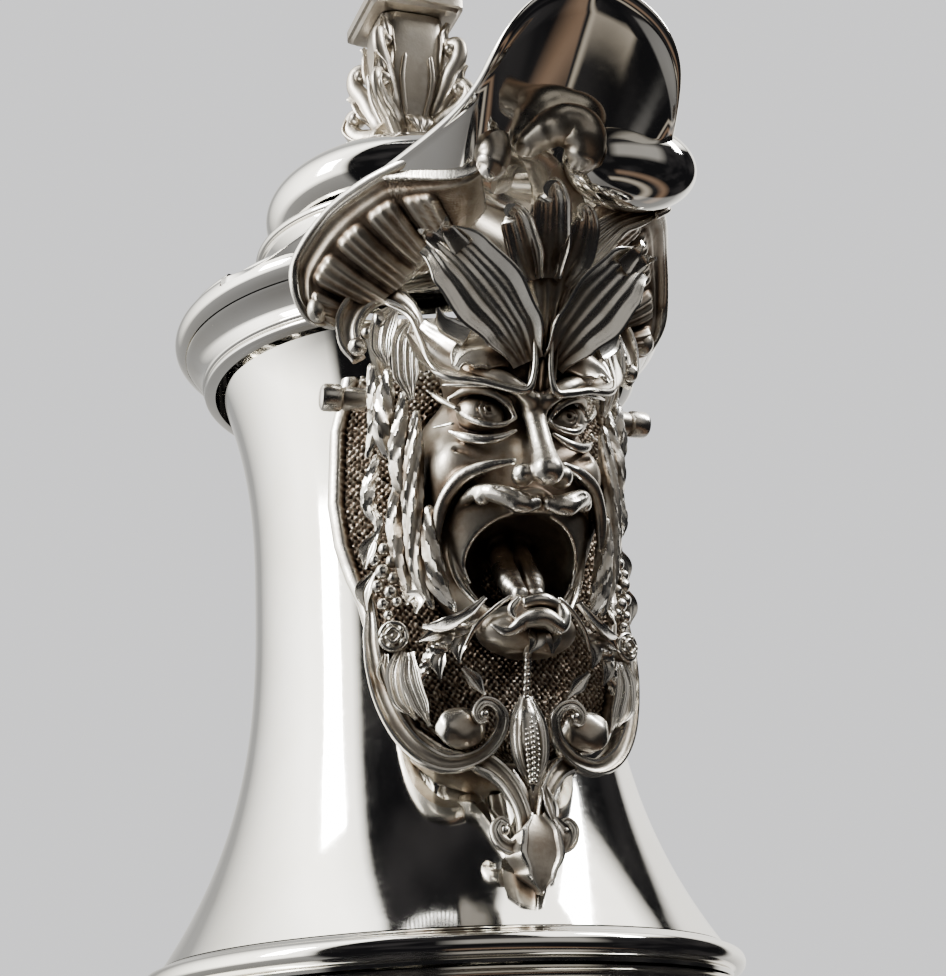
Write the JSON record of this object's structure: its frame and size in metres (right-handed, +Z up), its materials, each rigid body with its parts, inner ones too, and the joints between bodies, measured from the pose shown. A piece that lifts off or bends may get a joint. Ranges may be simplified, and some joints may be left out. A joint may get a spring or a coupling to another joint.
{
  "type": "lidded water pitcher",
  "caption": "Tall silver pitcher with a hinged domed lid, a long spout lip over an ornamental mask, a loop handle and a stepped foot.",
  "frame": {"origin": "on the body's vertical axis, at the underside of the foot rim", "axes": "+Z up, -Y towards the spout and its mask, +Y towards the handle and the lid's hinge, +X to the pitcher's left"},
  "size_m": [0.148, 0.1995, 0.3449],
  "materials": {
    "polished_silver": "polished silver sheet",
    "cast_silver": "cast and chased silver with dark tarnish left in the hollows",
    "pin_silver": "drawn silver wire"
  },
  "bodies": {
    "pitcher": {"bowl": "polished_silver", "shoulder_band": "polished_silver", "neck": "polished_silver", "rim_moulding": "polished_silver", "spout_lip": "polished_silver", "foot_rim": "polished_silver", "pedestal": "polished_silver", "stem_knop": "polished_silver", "handle_grip": "cast_silver", "handle_upper_mount": "cast_silver", "handle_lower_mount": "cast_silver", "handle_back_leaf": "cast_silver", "hinge_knuckle_left": "polished_silver", "hinge_knuckle_right": "polished_silver", "hinge_pin": "pin_silver", "mask_backplate": "cast_silver", "mask_face": "cast_silver", "mask_nose": "cast_silver", "mask_tongue": "cast_silver", "headdress_palmette": "cast_silver", "brow_leaf_left": "cast_silver", "brow_leaf_right": "cast_silver", "ear_scroll_left": "cast_silver", "ear_scroll_right": "cast_silver", "fan_collar_left": "cast_silver", "fan_collar_right": "cast_silver", "side_peg_left": "cast_silver", "side_peg_right": "cast_silver", "hair_lock_left": "cast_silver", "hair_lock_right": "cast_silver", "rosette_left": "cast_silver", "rosette_right": "cast_silver", "husk_drop_left": "cast_silver", "husk_drop_right": "cast_silver", "c_scroll_left": "cast_silver", "c_scroll_right": "cast_silver", "c_scroll_eye_left": "cast_silver", "c_scroll_eye_right": "cast_silver", "s_scroll_left": "cast_silver", "s_scroll_right": "cast_silver", "chin_knot": "cast_silver", "pod_pendant": "cast_silver", "drop_boss": "cast_silver"},
    "lid": {"lid_skirt": "polished_silver", "lid_dome": "polished_silver", "lid_hinge_leaf": "polished_silver", "thumbpiece": "cast_silver", "finial_stem": "cast_silver", "finial_arm_1": "cast_silver", "finial_arm_2": "cast_silver", "finial_arm_3": "cast_silver", "finial_arm_4": "cast_silver", "finial_abacus": "cast_silver", "finial_knob": "cast_silver", "finial_nut": "cast_silver"}
  },
  "joints": [
    {"name": "lid_hinge", "type": "hinge", "parent": "pitcher", "child": "lid", "pos_m": [0, 0.052, 0.268], "axis": [-1, 0, 0], "range_deg": [0, 75]}
  ]
}
